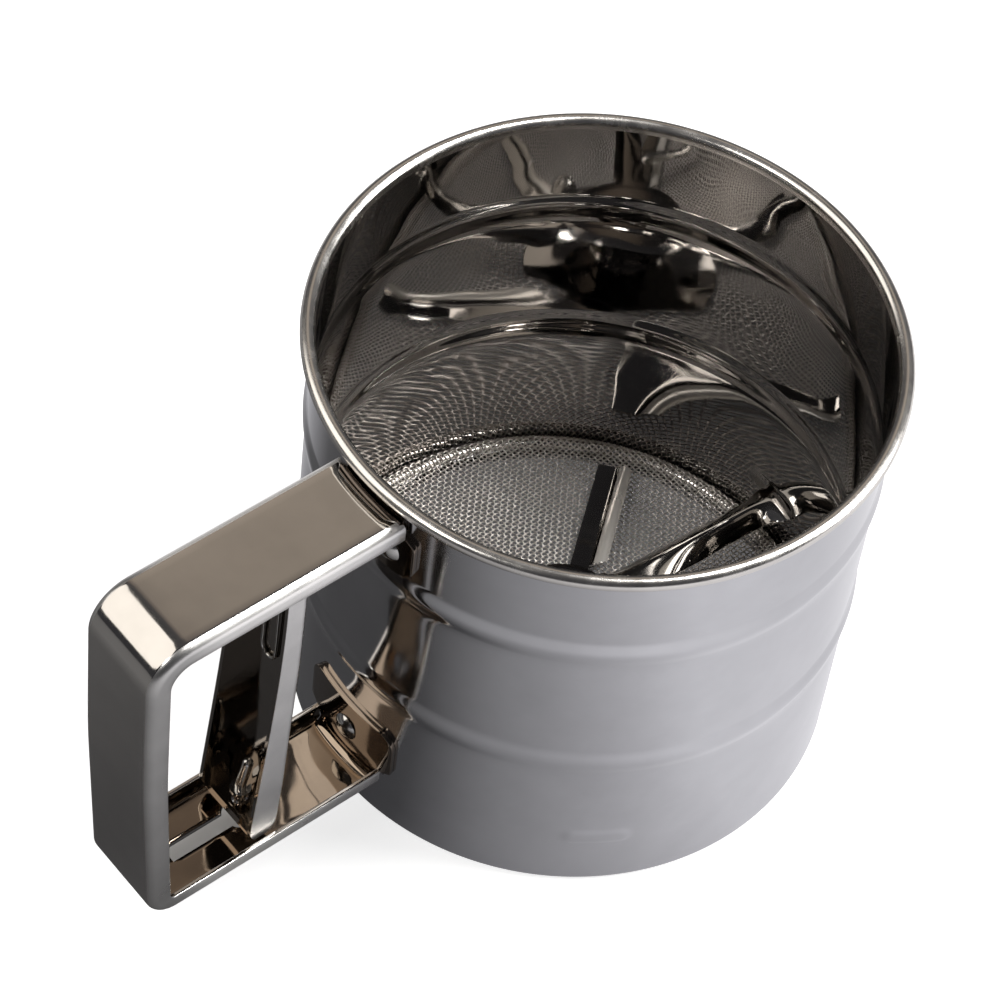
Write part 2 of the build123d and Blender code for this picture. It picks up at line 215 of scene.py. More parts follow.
def join(name, obs):
    """Joins several meshes into the first."""
    bm = bmesh.new()
    mats = []
    for o in obs:
        base = {}
        for i, m in enumerate(o.data.materials):
            if m not in mats:
                mats.append(m)
            base[i] = mats.index(m)
        n0 = len(bm.faces)
        bm.from_mesh(o.data)
        bm.faces.ensure_lookup_table()
        for f in bm.faces[n0:]:
            f.material_index = base.get(f.material_index, 0)
    me = bpy.data.meshes.new(name)
    bm.to_mesh(me)
    bm.free()
    for m in mats:
        me.materials.append(m)
    ob = bpy.data.objects.new(name, me)
    bpy.context.collection.objects.link(ob)
    for o in obs:
        bpy.data.objects.remove(o, do_unlink=True)
    return ob


def cut(ob, cutters):
    """Subtracts closed meshes from the piece."""
    for c in cutters:
        mod = ob.modifiers.new("cut", "BOOLEAN")
        mod.operation = "DIFFERENCE"
        mod.object = c
        mod.solver = "EXACT"
    settle(ob)
    for c in cutters:
        bpy.data.objects.remove(c, do_unlink=True)
    return ob


def rot_z(ob, deg):
    ob.data.transform(Matrix.Rotation(math.radians(deg), 4, "Z"))
    return ob


# ---------------------------------------------------------------------------
# materials
# ---------------------------------------------------------------------------
def nd(nt, kind, x=0, y=0):
    n = nt.nodes.new(kind)
    n.location = (x, y)
    return n


def steel(name, color, rough=(0.10, 0.22), tint=0.06, cloud=60.0, scratch=(0, 0, 0), scratch_amt=0.10,
          fine=900.0, bump=0.02, dist=0.00005, metallic=1.0, dark=0.0, aniso=0.0, ripple=0.0, ripple_scale=70.0, painted_sides=None):
    """Bright steel: broad cloudiness in colour and gloss, hair-fine drawing lines and a faint ripple."""
    m = bpy.data.materials.new(name)
    m.use_nodes = True
    nt = m.node_tree
    nt.nodes.clear()
    out = nd(nt, "ShaderNodeOutputMaterial", 900, 0)
    bs = nd(nt, "ShaderNodeBsdfPrincipled", 600, 0)
    nt.links.new(bs.outputs[0], out.inputs[0])
    bs.inputs["Metallic"].default_value = metallic
    if aniso:
        bs.inputs["Anisotropic"].default_value = aniso
    tc = nd(nt, "ShaderNodeTexCoord", -1100, 0)
    # broad clouds
    n1 = nd(nt, "ShaderNodeTexNoise", -700, 300)
    n1.inputs["Scale"].default_value = cloud
    n1.inputs["Detail"].default_value = 4.0
    n1.inputs["Roughness"].default_value = 0.6
    nt.links.new(tc.outputs["Object"], n1.inputs["Vector"])
    ramp = nd(nt, "ShaderNodeValToRGB", -400, 300)
    c0 = tuple(max(0.0, c * (1 - tint) - dark) for c in color)
    c1 = tuple(min(1.0, c * (1 + tint)) for c in color)
    ramp.color_ramp.elements[0].position = 0.3
    ramp.color_ramp.elements[1].position = 0.7
    ramp.color_ramp.elements[0].color = (*c0, 1)
    ramp.color_ramp.elements[1].color = (*c1, 1)
    nt.links.new(n1.outputs["Fac"], ramp.inputs["Fac"])
    nt.links.new(ramp.outputs["Color"], bs.inputs["Base Color"])
    # drawing lines: noise stretched along one axis
    mp = nd(nt, "ShaderNodeMapping", -900, -100)
    mp.inputs["Scale"].default_value = scratch if any(scratch) else (1, 1, 1)
    nt.links.new(tc.outputs["Object"], mp.inputs["Vector"])
    n2 = nd(nt, "ShaderNodeTexNoise", -700, -100)
    n2.inputs["Scale"].default_value = fine
    n2.inputs["Detail"].default_value = 5.0
    n2.inputs["Roughness"].default_value = 0.7
    nt.links.new(mp.outputs["Vector"], n2.inputs["Vector"])
    # smudges
    n3 = nd(nt, "ShaderNodeTexNoise", -700, -400)
    n3.inputs["Scale"].default_value = cloud * 2.3
    n3.inputs["Detail"].default_value = 6.0
    nt.links.new(tc.outputs["Object"], n3.inputs["Vector"])
    mix = nd(nt, "ShaderNodeMath", -450, -250)
    mix.operation = "MULTIPLY_ADD"
    mix.inputs[1].default_value = scratch_amt
    nt.links.new(n2.outputs["Fac"], mix.inputs[0])
    nt.links.new(n3.outputs["Fac"], mix.inputs[2])
    mr = nd(nt, "ShaderNodeMapRange", -250, -250)
    mr.inputs["From Min"].default_value = 0.35
    mr.inputs["From Max"].default_value = 0.75 + scratch_amt * 0.5
    mr.inputs["To Min"].default_value = rough[0]
    mr.inputs["To Max"].default_value = rough[1]
    nt.links.new(mix.outputs[0], mr.inputs["Value"])
    nt.links.new(mr.outputs["Result"], bs.inputs["Roughness"])
    bp = nd(nt, "ShaderNodeBump", 300, -250)
    bp.inputs["Strength"].default_value = bump
    bp.inputs["Distance"].default_value = dist
    nt.links.new(n2.outputs["Fac"], bp.inputs["Height"])
    nt.links.new(bp.outputs["Normal"], bs.inputs["Normal"])
    if painted_sides:
        # flange faces beyond |y| get a light colour of their own and more roughness: painted highlight
        lim, side_color, side_rough = painted_sides
        sx = nd(nt, "ShaderNodeSeparateXYZ", -400, 700)
        nt.links.new(tc.outputs["Object"], sx.inputs[0])
        ab = nd(nt, "ShaderNodeMath", -250, 700)
        ab.operation = "ABSOLUTE"
        nt.links.new(sx.outputs["Y"], ab.inputs[0])
        gt_ = nd(nt, "ShaderNodeMath", -100, 700)
        gt_.operation = "GREATER_THAN"
        gt_.inputs[1].default_value = lim
        nt.links.new(ab.outputs[0], gt_.inputs[0])
        sr = nd(nt, "ShaderNodeValToRGB", -100, 500)
        sr.color_ramp.elements[0].position = 0.3
        sr.color_ramp.elements[1].position = 0.7
        sr.color_ramp.elements[0].color = (*[c * (1 - tint) for c in side_color], 1)
        sr.color_ramp.elements[1].color = (*[min(1.0, c * (1 + tint)) for c in side_color], 1)
        nt.links.new(n1.outputs["Fac"], sr.inputs["Fac"])
        mx = nd(nt, "ShaderNodeMix", 250, 400)
        mx.data_type = "RGBA"
        nt.links.new(gt_.outputs[0], mx.inputs[0])
        nt.links.new(ramp.outputs["Color"], mx.inputs[6])
        nt.links.new(sr.outputs["Color"], mx.inputs[7])
        nt.links.new(mx.outputs[2], bs.inputs["Base Color"])
        ma = nd(nt, "ShaderNodeMath", 100, -100)
        ma.operation = "MULTIPLY_ADD"
        ma.inputs[1].default_value = side_rough
        nt.links.new(gt_.outputs[0], ma.inputs[0])
        nt.links.new(mr.outputs["Result"], ma.inputs[2])
        nt.links.new(ma.outputs[0], bs.inputs["Roughness"])
    if ripple:
        # slow waviness of pressed sheet, in metres of height
        n4 = nd(nt, "ShaderNodeTexNoise", -200, -550)
        n4.inputs["Scale"].default_value = ripple_scale
        n4.inputs["Detail"].default_value = 1.0
        nt.links.new(tc.outputs["Object"], n4.inputs["Vector"])
        b2 = nd(nt, "ShaderNodeBump", 100, -550)
        b2.inputs["Strength"].default_value = 1.0
        b2.inputs["Distance"].default_value = ripple
        nt.links.new(n4.outputs["Fac"], b2.inputs["Height"])
        nt.links.new(b2.outputs["Normal"], bp.inputs["Normal"])
    return m


def grade(m, direction, lo, hi, factor, metallic=None, flat=False):
    """Let the base colour drift by a factor where the part lies further along a direction."""
    nt = m.node_tree
    bs = nt.nodes["Principled BSDF"]
    src = bs.inputs["Base Color"].links[0].from_socket
    tc = nd(nt, "ShaderNodeTexCoord", -1100, 1000)
    vec = tc.outputs["Object"]
    if flat:
        fl = nd(nt, "ShaderNodeVectorMath", -950, 1000)
        fl.operation = "MULTIPLY"
        fl.inputs[1].default_value = (1, 1, 0)
        nt.links.new(vec, fl.inputs[0])
        nm = nd(nt, "ShaderNodeVectorMath", -800, 1000)
        nm.operation = "NORMALIZE"
        nt.links.new(fl.outputs["Vector"], nm.inputs[0])
        vec = nm.outputs["Vector"]
    dt = nd(nt, "ShaderNodeVectorMath", -650, 1000)
    dt.operation = "DOT_PRODUCT"
    dt.inputs[1].default_value = direction
    nt.links.new(vec, dt.inputs[0])
    mr = nd(nt, "ShaderNodeMapRange", -500, 1000)
    mr.interpolation_type = "SMOOTHSTEP"
    mr.inputs["From Min"].default_value = lo
    mr.inputs["From Max"].default_value = hi
    mr.inputs["To Min"].default_value = 1.0
    mr.inputs["To Max"].default_value = factor
    nt.links.new(dt.outputs["Value"], mr.inputs["Value"])
    sc = nd(nt, "ShaderNodeVectorMath", 350, 700)
    sc.operation = "SCALE"
    nt.links.new(src, sc.inputs[0])
    nt.links.new(mr.outputs["Result"], sc.inputs["Scale"])
    nt.links.new(sc.outputs["Vector"], bs.inputs["Base Color"])
    if metallic is not None:
        m2 = nd(nt, "ShaderNodeMapRange", -500, 1250)
        m2.interpolation_type = "SMOOTHSTEP"
        m2.inputs["From Min"].default_value = lo
        m2.inputs["From Max"].default_value = hi
        m2.inputs["To Min"].default_value = bs.inputs["Metallic"].default_value
        m2.inputs["To Max"].default_value = metallic
        nt.links.new(dt.outputs["Value"], m2.inputs["Value"])
        nt.links.new(m2.outputs["Result"], bs.inputs["Metallic"])
    return m


CUP = steel("cup_polished_steel", (0.60, 0.60, 0.615), rough=(0.07, 0.14), cloud=45, scratch=(1, 1, 0.03), fine=1500, bump=0.04, ripple=0.00008, ripple_scale=40)
# The inner wall is a darker copy of the cup steel: painted shade.
CUP_IN = steel("cup_inner_painted_shade", (0.44, 0.42, 0.40), rough=(0.02, 0.06), tint=0.04, cloud=45, scratch=(0.03, 0.03, 1), fine=1200, bump=0.008, ripple=0.00018, ripple_scale=55)
# Painted shade: the inner wall is darkened further on the side facing away from the handle.
grade(CUP_IN, (-0.956, 0.292, 0.0), 0.25, 0.85, 0.52, flat=True)
# The rolled rim is a lighter copy of the cup steel: painted highlight.
RIM = steel("rim_steel_painted_highlight", (0.70, 0.675, 0.64), rough=(0.20, 0.30), cloud=120, scratch=(1, 1, 0.2), fine=1800, bump=0.02)
STRAP = steel("strap_polished_steel", (0.60, 0.575, 0.545), rough=(0.06, 0.14), cloud=70, scratch=(1, 0.02, 1), fine=1500, bump=0.03, ripple=0.00005, ripple_scale=90)
# The inner side of the strap is a darker, tan copy of the strap steel: painted shade and a painted warm reflection.
STRAP_IN = steel("strap_inner_painted_shade_reflection", (0.33, 0.265, 0.205), rough=(0.03, 0.09), tint=0.08, cloud=110, scratch=(1, 0.02, 1), fine=1500, bump=0.008, ripple=0.00012, ripple_scale=110)
# The lips of the strap are a lighter, partly diffuse copy of the strap steel: painted highlight.
STRAP_LIP = steel("strap_lip_painted_highlight", (0.88, 0.865, 0.84), rough=(0.27, 0.36), cloud=90, scratch=(0.03, 1, 1), fine=1500, bump=0.005, metallic=0.78)
# Towards the grip the painted highlight fades: darker and fully metallic.
grade(STRAP_LIP, (1.0, 0.0, 0.0), 0.083, 0.0945, 0.68, metallic=1.0)
# A still darker copy of the strap steel for the inside and the tabs: painted shade.
STRAP_DARK = steel("strap_inner_painted_deep_shade", (0.20, 0.165, 0.135), rough=(0.04, 0.12), tint=0.08, cloud=110, scratch=(1, 0.02, 1), fine=1500, bump=0.008, ripple=0.0001, ripple_scale=110)
# The trigger's base is a dark copy of the steel, painted shade; its flange faces take a light one, painted highlight.
TRIG = steel("trigger_painted_shade_lit_flanges", (0.25, 0.225, 0.20), rough=(0.04, 0.12), cloud=90, scratch=(1, 1, 0.04), fine=1400, bump=0.05, ripple=0.0001, ripple_scale=90,
             painted_sides=(0.00725, (0.90, 0.885, 0.865), 0.30))
# The bracket is a darker, tan copy of the steel: painted shade and painted warm reflection.
TAN = steel("bracket_painted_warm_reflection", (0.36, 0.30, 0.24), rough=(0.06, 0.16), cloud=140, fine=1400, bump=0.05)
BRIGHT = steel("stamped_bright_steel", (0.58, 0.565, 0.545), rough=(0.04, 0.10), cloud=90, scratch=(0.4, 0.4, 1), fine=900, bump=0.004, ripple=0.00004, ripple_scale=120)
# The blade lips are a light, half-diffuse copy of the steel: painted highlight.
LIPM = steel("blade_lip_painted_highlight", (0.97, 0.935, 0.88), rough=(0.22, 0.30), cloud=160, tint=0.02, scratch=(1, 1, 0.1), fine=1500, bump=0.01, metallic=0.5)
WIRE = steel("drawn_wire_steel", (0.60, 0.585, 0.56), rough=(0.12, 0.25), cloud=200, fine=2500, bump=0.05)
MESHM = steel("woven_wire", (0.76, 0.715, 0.68), rough=(0.34, 0.46), cloud=100, tint=0.10, fine=900, bump=0.0)
SPRING = steel("spring_wire", (0.55, 0.54, 0.52), rough=(0.12, 0.25), cloud=200, fine=2500, bump=0.05)
RIVET = steel("rivet_steel", (0.60, 0.59, 0.57), rough=(0.12, 0.24), cloud=150, fine=2000, bump=0.05)

for n, m in {"cup_body": CUP, "sieve_mesh": MESHM, "sieve_hoop": WIRE, "agitator_spider": BRIGHT, "agitator_spindle": BRIGHT,
             "lower_thrust_washer": BRIGHT, "upper_thrust_washer": BRIGHT, "handle_strap": STRAP, "upper_handle_rivets": RIVET,
             "lower_handle_rivet": RIVET, "trigger_pivot_pin": RIVET, "trigger_lever": TRIG, "return_spring": SPRING,
             "link_bracket": TAN, "drive_link": WIRE, "link_retainer": SPRING, "agitator_blades": BRIGHT, "agitator_hub": BRIGHT,
             "crank_pin": BRIGHT, "crank_clip": SPRING}.items():
    ob = NODES[n]
    if not ob.material_slots:
        ob.data.materials.append(m)
    for s in ob.material_slots:
        s.material = m

# ---------------------------------------------------------------------------
# cup: one turned sheet with beads, curl and three pressed pockets
# ---------------------------------------------------------------------------
R_OUT, T, H = 49.0, 0.6, 89.3
RC = R_OUT - T / 2


def arc(cx, cz, r, a0, a1, n):
    return [(cx + r * math.cos(math.radians(a0 + (a1 - a0) * i / n)), cz + r * math.sin(math.radians(a0 + (a1 - a0) * i / n)))
            for i in range(n + 1)]


def bead_offset(z):
    d = 0.0
    for zb in (36.2, 67.2):
        t = abs(z - zb) / 3.5
        if t < 1:
            d += 0.55 * (1 - smooth(0.0, 1.0, t))
    return d


line = []
line += [(45.0, 0.3), (46.0, 0.3), (47.0, 0.3)]
line += arc(RC - 1.0, 1.3, 1.0, -90, 0, 6)
z = 2.0
while z < 87.0:
    line.append((RC + bead_offset(z), z))
    near_bead = any(abs(z - zb) < 4.0 for zb in (36.2, 67.2))
    near_pocket = 10.6 < z < 17.2
    z += 0.22 if near_bead else (0.32 if near_pocket else 1.6)
    z = round(z, 4)
line += [(RC, 87.2)]
line += arc(RC + 1.0, 88.0, 1.0, 180, -100, 22)
# offset to both sides
left, right_ = [], []
for i, (r, z) in enumerate(line):
    r0, z0 = line[max(i - 1, 0)]
    r1, z1 = line[min(i + 1, len(line) - 1)]
    dx, dz = r1 - r0, z1 - z0
    L = math.hypot(dx, dz)
    nx, nz = dz / L, -dx / L
    left.append((r + nx * T / 2, z + nz * T / 2))
    right_.append((r - nx * T / 2, z - nz * T / 2))
outer = left
inner = right_[::-1]
prof = outer + inner
N_OUT = len(outer)


def pocket(r, h, a):
    if r > 47.5 and 10.5 < h < 17.3:
        for az in (57.0, 177.0, 297.0):
            da = math.degrees(a) - az
            if abs(da) < 12:
                t = abs(math.radians(da)) * 49.0
                ax = max(t - (12.4 - 4.2) / 2, 0.0)
                d = math.hypot(ax, h - 13.8) / 2.1
                if d < 1.25:
                    r += 0.42 * (1 - smooth(0.25, 1.22, d))
    return r, h


cup = lathe("cup_shell", prof, seg=600, sharp=50, fn=pocket)
cup.data.materials.append(CUP)
cup.data.materials.append(CUP_IN)
cup.data.materials.append(RIM)
for p in cup.data.polygons:
    c = p.center
    rr = math.hypot(c.x, c.y)
    nr = (p.normal.x * c.x + p.normal.y * c.y) / max(rr, 1e-9)
    p.material_index = 1 if (nr < -0.2 and rr < 0.0500 and c.z < 0.0872) else 0
    if c.z > 0.0872 or (c.z > 0.0862 and rr > 0.0496):
        p.material_index = 2
# hole for the link
bm = bmesh.new()
bmesh.ops.create_cone(bm, cap_ends=True, segments=32, radius1=0.0012, radius2=0.0012, depth=0.006,
                      matrix=Matrix.Translation((0.0487, 0, 0.0089)) @ Matrix.Rotation(math.pi / 2, 4, "Y"))
tool = bpy.data.meshes.new("link_hole")
bm.to_mesh(tool)
bm.free()
cutter = bpy.data.objects.new("link_hole", tool)
bpy.context.collection.objects.link(cutter)
cut(cup, [cutter])
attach(cup, "frame")
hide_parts("cup_body")

# ---------------------------------------------------------------------------
# sieve: real woven wires, flat in the middle and hemmed over the hoop
# ---------------------------------------------------------------------------
PITCH = 0.86
WR = 0.16
HOOP_R, HEM_Z = 46.72, 2.25
HEM = 1.05 + 0.02 + 0.25
MESH_MID = 2.25
A0 = 180.0


def sieve_point(x, y, off):
    """Maps a point of the flat cloth (x, y) and its height off the cloth to the dished and hemmed shape."""
    rho = math.hypot(x, y)
    flat_r = HOOP_R - HEM
    if rho <= flat_r - 0.8:
        return (x, y, MESH_MID + off)
    ca, sa = (x / rho, y / rho)
    s = rho - flat_r
    # small fillet from the flat to the hem, then round the hoop
    if s < 0:
        t = (s + 0.8) / 0.8
        return (rho * ca, rho * sa, MESH_MID + 0.12 * t * t + off)
    ang = math.radians(180.0) - s / HEM
    ang = max(ang, math.radians(-110))
    rr = HOOP_R + (HEM + off) * math.cos(ang)
    zz = HEM_Z + (HEM + off) * math.sin(ang) + 0.12 * max(0.0, 1 - s / 1.0)
    return (rr * ca, rr * sa, zz)


S_MAX = (HOOP_R - HEM) + HEM * math.radians(285)
verts, faces = [], []
turn = math.radians(1.5)
ct, st = math.cos(turn), math.sin(turn)
count = int(S_MAX / PITCH)
for family in (0, 1):
    for i in range(-count, count + 1):
        c = i * PITCH + PITCH / 2
        if abs(c) >= S_MAX - 0.3:
            continue
        half = math.sqrt(S_MAX ** 2 - c * c)
        k0 = int(math.ceil(-half / (PITCH / 2)))
        k1 = int(math.floor(half / (PITCH / 2)))
        pts = []
        for k in range(k0, k1 + 1):
            s = k * PITCH / 2
            ph = math.pi * (s - PITCH / 2) / PITCH
            up = math.cos(ph) * (1 if i % 2 else -1) * (1 if family else -1) * 0.93 * WR
            x, y = (s, c) if family else (c, s)
            pts.append(sieve_point(x * ct - y * st, x * st + y * ct, up))
        if len(pts) > 4:
            tube_path(verts, faces, pts, WR, n=5, caps=False)
sieve = make("sieve_weave", verts, faces)
sieve.data.materials.append(MESHM)
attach(sieve, "frame")
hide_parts("sieve_mesh")

# ---------------------------------------------------------------------------
# spider: three ridged arms that flatten and flare into the wall pockets
# ---------------------------------------------------------------------------
def arm_rows():
    rows = []
    st = [8.0, 9.0, 10.0, 11.0, 12.0, 13.0, 14.0, 16.0, 18.0, 20.0, 23.0, 26.0, 29.0, 32.0, 35.0, 38.0, 40.0, 41.5, 42.5, 43.5, 44.3, 45.0, 45.6, 46.2, 46.8, 47.4, 47.9, 48.25]
    for r in st:
        near = 2.85 + 2.7 * smooth(42.5, 48.0, r) + 0.095 * max(0.0, 34.0 - r)
        far = 2.75 + 0.7 * smooth(44.5, 48.2, r)
        steep = (0.25 + 0.75 * smooth(17.0, 33.0, r)) * smooth(9.0, 13.0, r) * (1 - 0.72 * smooth(42.0, 47.6, r))
        drop_far = 2.75 * smooth(9.0, 14.5, r) * (1 - 0.30 * smooth(43.5, 48.0, r)) + 0.1
        drop_near = 3.0 * steep + 0.1
        top = 13.45 - 0.15 * smooth(42.5, 46.5, r)
        row = []
        for k in range(-14, 15):
            u = k / 14.0
            e = 0.15
            v = (math.sqrt(u * u + e * e) - e) / (math.sqrt(1 + e * e) - e)
            v = 0.85 * v + 0.15 * u * u
            t = u * (near if u < 0 else far)
            x = math.sqrt(max(r * r - t * t, 0)) if r > 46 else r
            row.append((x, t, top - (drop_near if u < 0 else drop_far) * v))
        rows.append(row)
    return rows


arms = []
for az in (57.0, 177.0, 297.0):
    a_ = sheet_piece("arm", arm_rows(), 0.75, bevel=0.12, mat=BRIGHT)
    rot_z(a_, az)
    arms.append(a_)
hub_top = lathe("hub_top", [(2.02, 13.1), (2.02, 13.88), (3.2, 13.9), (7.6, 13.9), (9.2, 13.84), (9.85, 13.6), (10.0, 13.3), (9.9, 13.1), (7.0, 13.1)], seg=96)
hub_top.data.materials.append(BRIGHT)
spider = join("spider_arms", arms + [hub_top])
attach(spider, "frame")
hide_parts("agitator_spider")

# ---------------------------------------------------------------------------
# rotating star: centre disc and four blades with a curled scraping lip
# ---------------------------------------------------------------------------
def blade(az):
    rows = []
    st = [11.0, 14.0, 16.5, 17.5, 17.7, 18.0, 18.5, 19.2, 20.0, 24.0, 30.0, 36.0, 39.5, 40.4, 41.0, 41.35, 41.55]
    for r in st:
        g = 0.0
        if r > 17.55:
            g = math.sqrt(max(0.0, 1 - (1 - min(1.0, (r - 17.55) / 1.7)) ** 2))
            g *= math.sqrt(max(0.0, 1 - max(0.0, (r - 40.2) / 1.45) ** 2)) if r > 40.2 else 1.0
        row = []
        for k in range(7):
            row.append((r, 1.78 - 3.2 * k / 6, 4.0))
        # bend, rising lip, and an edge that curls over
        lip = 0.35 + 3.35 * g
        y_, z_ = -1.42, 4.0
        m_ = 16
        for k in range(1, m_ + 1):
            q = lip * (k - 0.5) / m_
            if q < 0.9:
                w = 50.0 * q / 0.9
            elif q < 1.5:
                w = 50.0
            else:
                w = 50.0 - 85.0 * min(1.0, (q - 1.5) / 2.0)
            w = math.radians(w)
            y_ -= lip / m_ * math.cos(w)
            z_ += lip / m_ * math.sin(w)
            row.append((r, y_, z_))
        rows.append(row)
    b_ = sheet_piece("blade", rows, 0.72, bevel=0.12, mat=BRIGHT)
    b_.data.materials.append(LIPM)
    # The lip's upper faces take the light lip copy: painted highlight.
    for p in b_.data.polygons:
        if p.center.y < -0.0024 and p.center.z > 0.0046 and p.normal.z > 0.1 and p.center.x > 0.0176:
            p.material_index = 1
    return rot_z(b_, az)


def flat_disc(name, r0, r1, z0, z1, ease=0.12, seg=96):
    return lathe(name, [(r0, z0), (r0, z1 - ease), (r0 + ease, z1), (r1 - ease, z1), (r1, z1 - ease), (r1, z0 + ease), (r1 - ease, z0)], seg=seg)


disc = flat_disc("disc", 4.02, 15.5, 3.62, 4.42)
disc.data.materials.append(BRIGHT)
star = join("agitator_star", [blade(218.0 + 90 * k) for k in range(4)] + [disc])
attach(star, "agitator")
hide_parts("agitator_blades")

# ---------------------------------------------------------------------------
# rivets: low domes with a flat head inside
# ---------------------------------------------------------------------------
def dome(r, h, n=10):
    R = (r * r + h * h) / (2 * h)
    return [(R * math.sin(a), R * math.cos(a) - R + h) for a in [math.asin(min(1.0, r / R)) * i / n for i in range(n + 1)]]


def rivet(z, az):
    xo, xi = 49.97, 48.32
    out = [(r, xo + h) for r, h in dome(2.6, 1.25)]
    inn = [(r, xi - h) for r, h in dome(2.6, 0.65)]
    prof = out + [(2.6, xo), (1.5, xo), (1.5, xi), (2.6, xi)] + inn[::-1]
    o = lathe("rivet", [(r, h) for r, h in prof], seg=40, axis="X", origin=(0, 0, z), closed=False)
    o.data.materials.append(RIVET)
    return rot_z(o, az)


up_riv = join("upper_rivets", [rivet(75.6, 6.5), rivet(75.6, -6.5)])
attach(up_riv, "frame")
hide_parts("upper_handle_rivets")
lo_riv = rivet(18.2, 0.0)
lo_riv.name = "lower_rivet"
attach(lo_riv, "frame")
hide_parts("lower_handle_rivet")

# ---------------------------------------------------------------------------
# handle: channel strip in a C with tabs that turn onto the wall
# ---------------------------------------------------------------------------
ST = 0.9
R0 = 49.03 + ST / 2
HW, RR, LIP = 8.55, 1.3, 3.5
BEND = 2.0


def fillet_path(pts, radii, step=4.0):
    """Corner points (x, z) to a smooth polyline of points with their outward normals."""
    out = []
    n = len(pts)
    starts = []
    for i in range(1, n - 1):
        p0, p1, p2 = Vector(pts[i - 1]), Vector(pts[i]), Vector(pts[i + 1])
        d0, d1 = (p1 - p0).normalized(), (p2 - p1).normalized()
        ang = math.atan2(d0.x * d1.y - d0.y * d1.x, d0.dot(d1))
        r = radii[i - 1]
        t = abs(r * math.tan(abs(ang) / 2))
        starts.append((p1 - d0 * t, p1 + d1 * t, d0, d1, ang, r))
    cur = Vector(pts[0])
    for a, b, d0, d1, ang, r in starts:
        L = (a - cur).length
        m = max(1, int(L / step))
        for k in range(m):
            p = cur + (a - cur) * (k / m)
            out.append((p, d0.copy()))
        m = max(3, int(abs(math.degrees(ang)) / 4.5))
        side = 1 if ang > 0 else -1
        c = a + Vector((-d0.y, d0.x)) * (r * side)
        for k in range(m):
            w = ang * k / m
            rot = Matrix.Rotation(w, 2)
            q = c + rot @ (a - c)
            out.append((q, rot @ d0))
        cur = b
        last = d1
    L = (Vector(pts[-1]) - cur).length
    m = max(1, int(L / step))
    for k in range(m + 1):
        out.append((cur + (Vector(pts[-1]) - cur) * (k / m), last.copy()))
    return out


def strap_section():
    """(y, depth) across the strip, lips turned towards the inside of the C."""
    sec = [(-HW, LIP - (LIP - RR) * k / 2) for k in range(2)]
    sec += [(-HW + RR - RR * math.cos(math.radians(a)), RR - RR * math.sin(math.radians(a))) for a in range(0, 90, 10)]
    m = 12
    sec += [(-(HW - RR) + 2 * (HW - RR) * k / m, 0.0) for k in range(m + 1)]
    half = sec[:11][::-1]
    sec += [(-y, d) for y, d in half]
    return sec


path = fillet_path([(60.0, 84.05), (98.35, 84.05), (98.45, 50.0), (96.9, 10.75), (60.0, 10.75)], [7.8, 300.0, 5.0], step=3.0)
SEC = strap_section()


def start_x(y, d):
    flat = d < 0.02 and abs(y) < HW - RR - 0.05
    off = BEND if flat else (0.25 if d > 0.5 or abs(y) > HW - 0.6 else 1.0)
    return math.sqrt((R0 + off) ** 2 - y * y)


rows = []
for k in range(6):
    f = k / 6.0
    rows.append([(start_x(y, d) + (60.0 - start_x(y, d)) * f, y, 84.05 - d) for y, d in SEC])
for p, t in path:
    nx, nz = -t.y, t.x          # left of travel
    # travel goes +X on the upper arm: outside is +Z, which is the left side
    rows.append([(p.x - nx * d, y, p.y - nz * d) for y, d in SEC])
for k in range(1, 7):
    f = 1 - k / 6.0
    rows.append([(start_x(y, d) + (60.0 - start_x(y, d)) * f, y, 10.75 + d) for y, d in SEC])
channel = sheet_piece("strap_channel", rows, ST, bevel=0.16, mat=STRAP, back=STRAP_IN)
# the outside of the C keeps the plain steel; the inner side gets the darker, tan copy: painted shade and painted warm
# reflection
top = [p for p in channel.data.polygons if p.normal.z > 0.95 and p.center.z > 0.084 and abs(p.center.y) < 0.006]
flip = sum(1 for p in top if p.material_index == 1) > len(top) / 2
channel.data.materials.append(STRAP_LIP)
channel.data.materials.append(STRAP_DARK)
for p in channel.data.polygons:
    if flip:
        p.material_index = 1 - p.material_index if p.material_index < 2 else p.material_index
    # Lip edges of the outer sheet take the lighter lip copy: painted highlight.
    if p.material_index == 0 and abs(p.center.y) > (HW - RR * 0.75) * MM and abs(p.normal.y) > 0.2:
        p.material_index = 2
    # Inside the C, all but the floor of the lower arm take the darkest copy: painted shade.
    if p.material_index == 1 and not (p.normal.z > 0.8 and p.center.z < 0.0125):
        p.material_index = 3


def tab_rows(z_arm, z_end, sign):
    """Bend off the arm plate and a flat tab that follows the wall; sign -1 runs down, +1 runs up."""
    rows = []
    prof = []
    for a in range(0, 91, 9):
        w = math.radians(a)
        prof.append((BEND - BEND * math.sin(w), z_arm + sign * (BEND - BEND * math.cos(w))))
    zb = z_arm + sign * BEND
    m = 16
    for k in range(1, m + 1):
        f = k / m
        f = 1 - (1 - f) ** 1.7
        prof.append((0.0, zb + (z_end - zb) * f))
    for dlt, z in prof:
        w = HW - RR + 0.1
        h = abs(z - z_arm)
        w += (11.0 - w) * smooth(2.2, 4.6, h)
        q = abs(z_end - z)
        if q < 3.0:
            w -= 3.0 - math.sqrt(max(0.0, 9.0 - (3.0 - q) ** 2))
        rows.append([(math.sqrt((R0 + dlt) ** 2 - (w * k / 14.0) ** 2), w * k / 14.0, z) for k in range(-14, 15)])
    return rows


